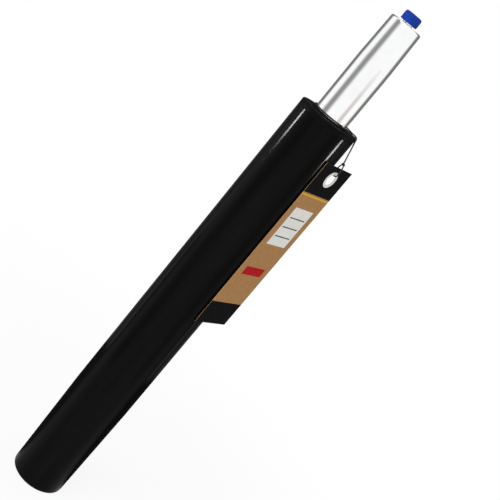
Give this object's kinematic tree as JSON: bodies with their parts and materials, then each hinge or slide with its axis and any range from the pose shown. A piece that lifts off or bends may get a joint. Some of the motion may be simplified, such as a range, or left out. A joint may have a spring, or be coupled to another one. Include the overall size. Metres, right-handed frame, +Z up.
{
  "type": "chair gas lift cylinder",
  "caption": "Office chair gas lift: black column with tapered foot, chromed telescoping gas spring with seat taper and blue release button, turning on a thrust bearing; plain hang tag",
  "frame": {"origin": "centre of the column's foot, on the plane that it stands on", "axes": "+Z up along the cylinder's axis; the hang tag is on the +X side, and its face is turned to -Y"},
  "size_m": [0.0647, 0.05, 0.4779],
  "materials": {
    "column_paint": "satin",
    "sleeve_plastic": "matte",
    "tube_chrome": "polished",
    "rod_chrome": "ground",
    "pressed_steel": "zinc plated",
    "spring_steel": "blued",
    "bearing_steel": "ground",
    "nut_steel": "zinc plated",
    "cage_brass": "stamped",
    "bump_rubber": "matte",
    "seal_rubber": "satin",
    "piston_alloy": "turned",
    "band_plastic": "matte",
    "guide_plastic": "matte",
    "valve_alloy": "turned",
    "button_plastic": "satin",
    "tag_cord": "twisted",
    "tag_card": "laminated card"
  },
  "bodies": {
    "column": {"stand_tube": "column_paint", "guide_sleeve": "sleeve_plastic", "base_cup": "pressed_steel", "lower_race": "bearing_steel", "tag_cord": "tag_cord"},
    "bearing_cage": {"ball_cage": "cage_brass", "bearing_balls": "bearing_steel"},
    "rod": {"piston_rod": "rod_chrome", "upper_race": "bearing_steel", "clip_washer": "pressed_steel", "retaining_clip": "spring_steel", "bump_stop": "bump_rubber", "piston": "piston_alloy", "piston_ring": "seal_rubber", "piston_band": "band_plastic", "piston_washer": "pressed_steel", "piston_nut": "nut_steel"},
    "lift": {"lift_tube": "tube_chrome", "gas_cylinder": "pressed_steel", "end_washer": "pressed_steel", "rod_seal": "seal_rubber", "rod_guide": "guide_plastic", "guide_ring": "seal_rubber", "valve_body": "valve_alloy", "valve_rings": "seal_rubber", "spigot_ring": "seal_rubber", "pin_ring": "seal_rubber"},
    "button": {"release_button": "button_plastic", "valve_pin": "bearing_steel", "poppet_seal": "seal_rubber"},
    "tag": {"tag_strands": "tag_cord", "tag_eye": "tag_cord", "tag_knot": "tag_cord", "tag_card": "tag_card"}
  },
  "joints": [
    {"name": "swivel", "type": "hinge", "parent": "column", "child": "rod", "pos_m": [0, 0, 0.0176], "axis": [0, 0, 1], "continuous": true},
    {"name": "cage_spin", "type": "hinge", "parent": "column", "child": "bearing_cage", "pos_m": [0, 0, 0.01455], "axis": [0, 0, 1], "continuous": true},
    {"name": "lift_slide", "type": "slide", "parent": "rod", "child": "lift", "axis": [0, 0, 1], "range_m": [0, 0.26]},
    {"name": "button_press", "type": "slide", "parent": "lift", "child": "button", "axis": [0, 0, -1], "range_m": [0, 0.004], "stiffness_N_per_m": 2500, "springref_m": -0.002},
    {"name": "tag_swing", "type": "hinge", "parent": "column", "child": "tag", "pos_m": [0.02545, 0, 0.3827], "axis": [0, -1, 0], "range_deg": [0, 75]}
  ],
  "couplings": [
    {"joint": "cage_spin", "follows": "swivel", "ratio": 0.5}
  ]
}
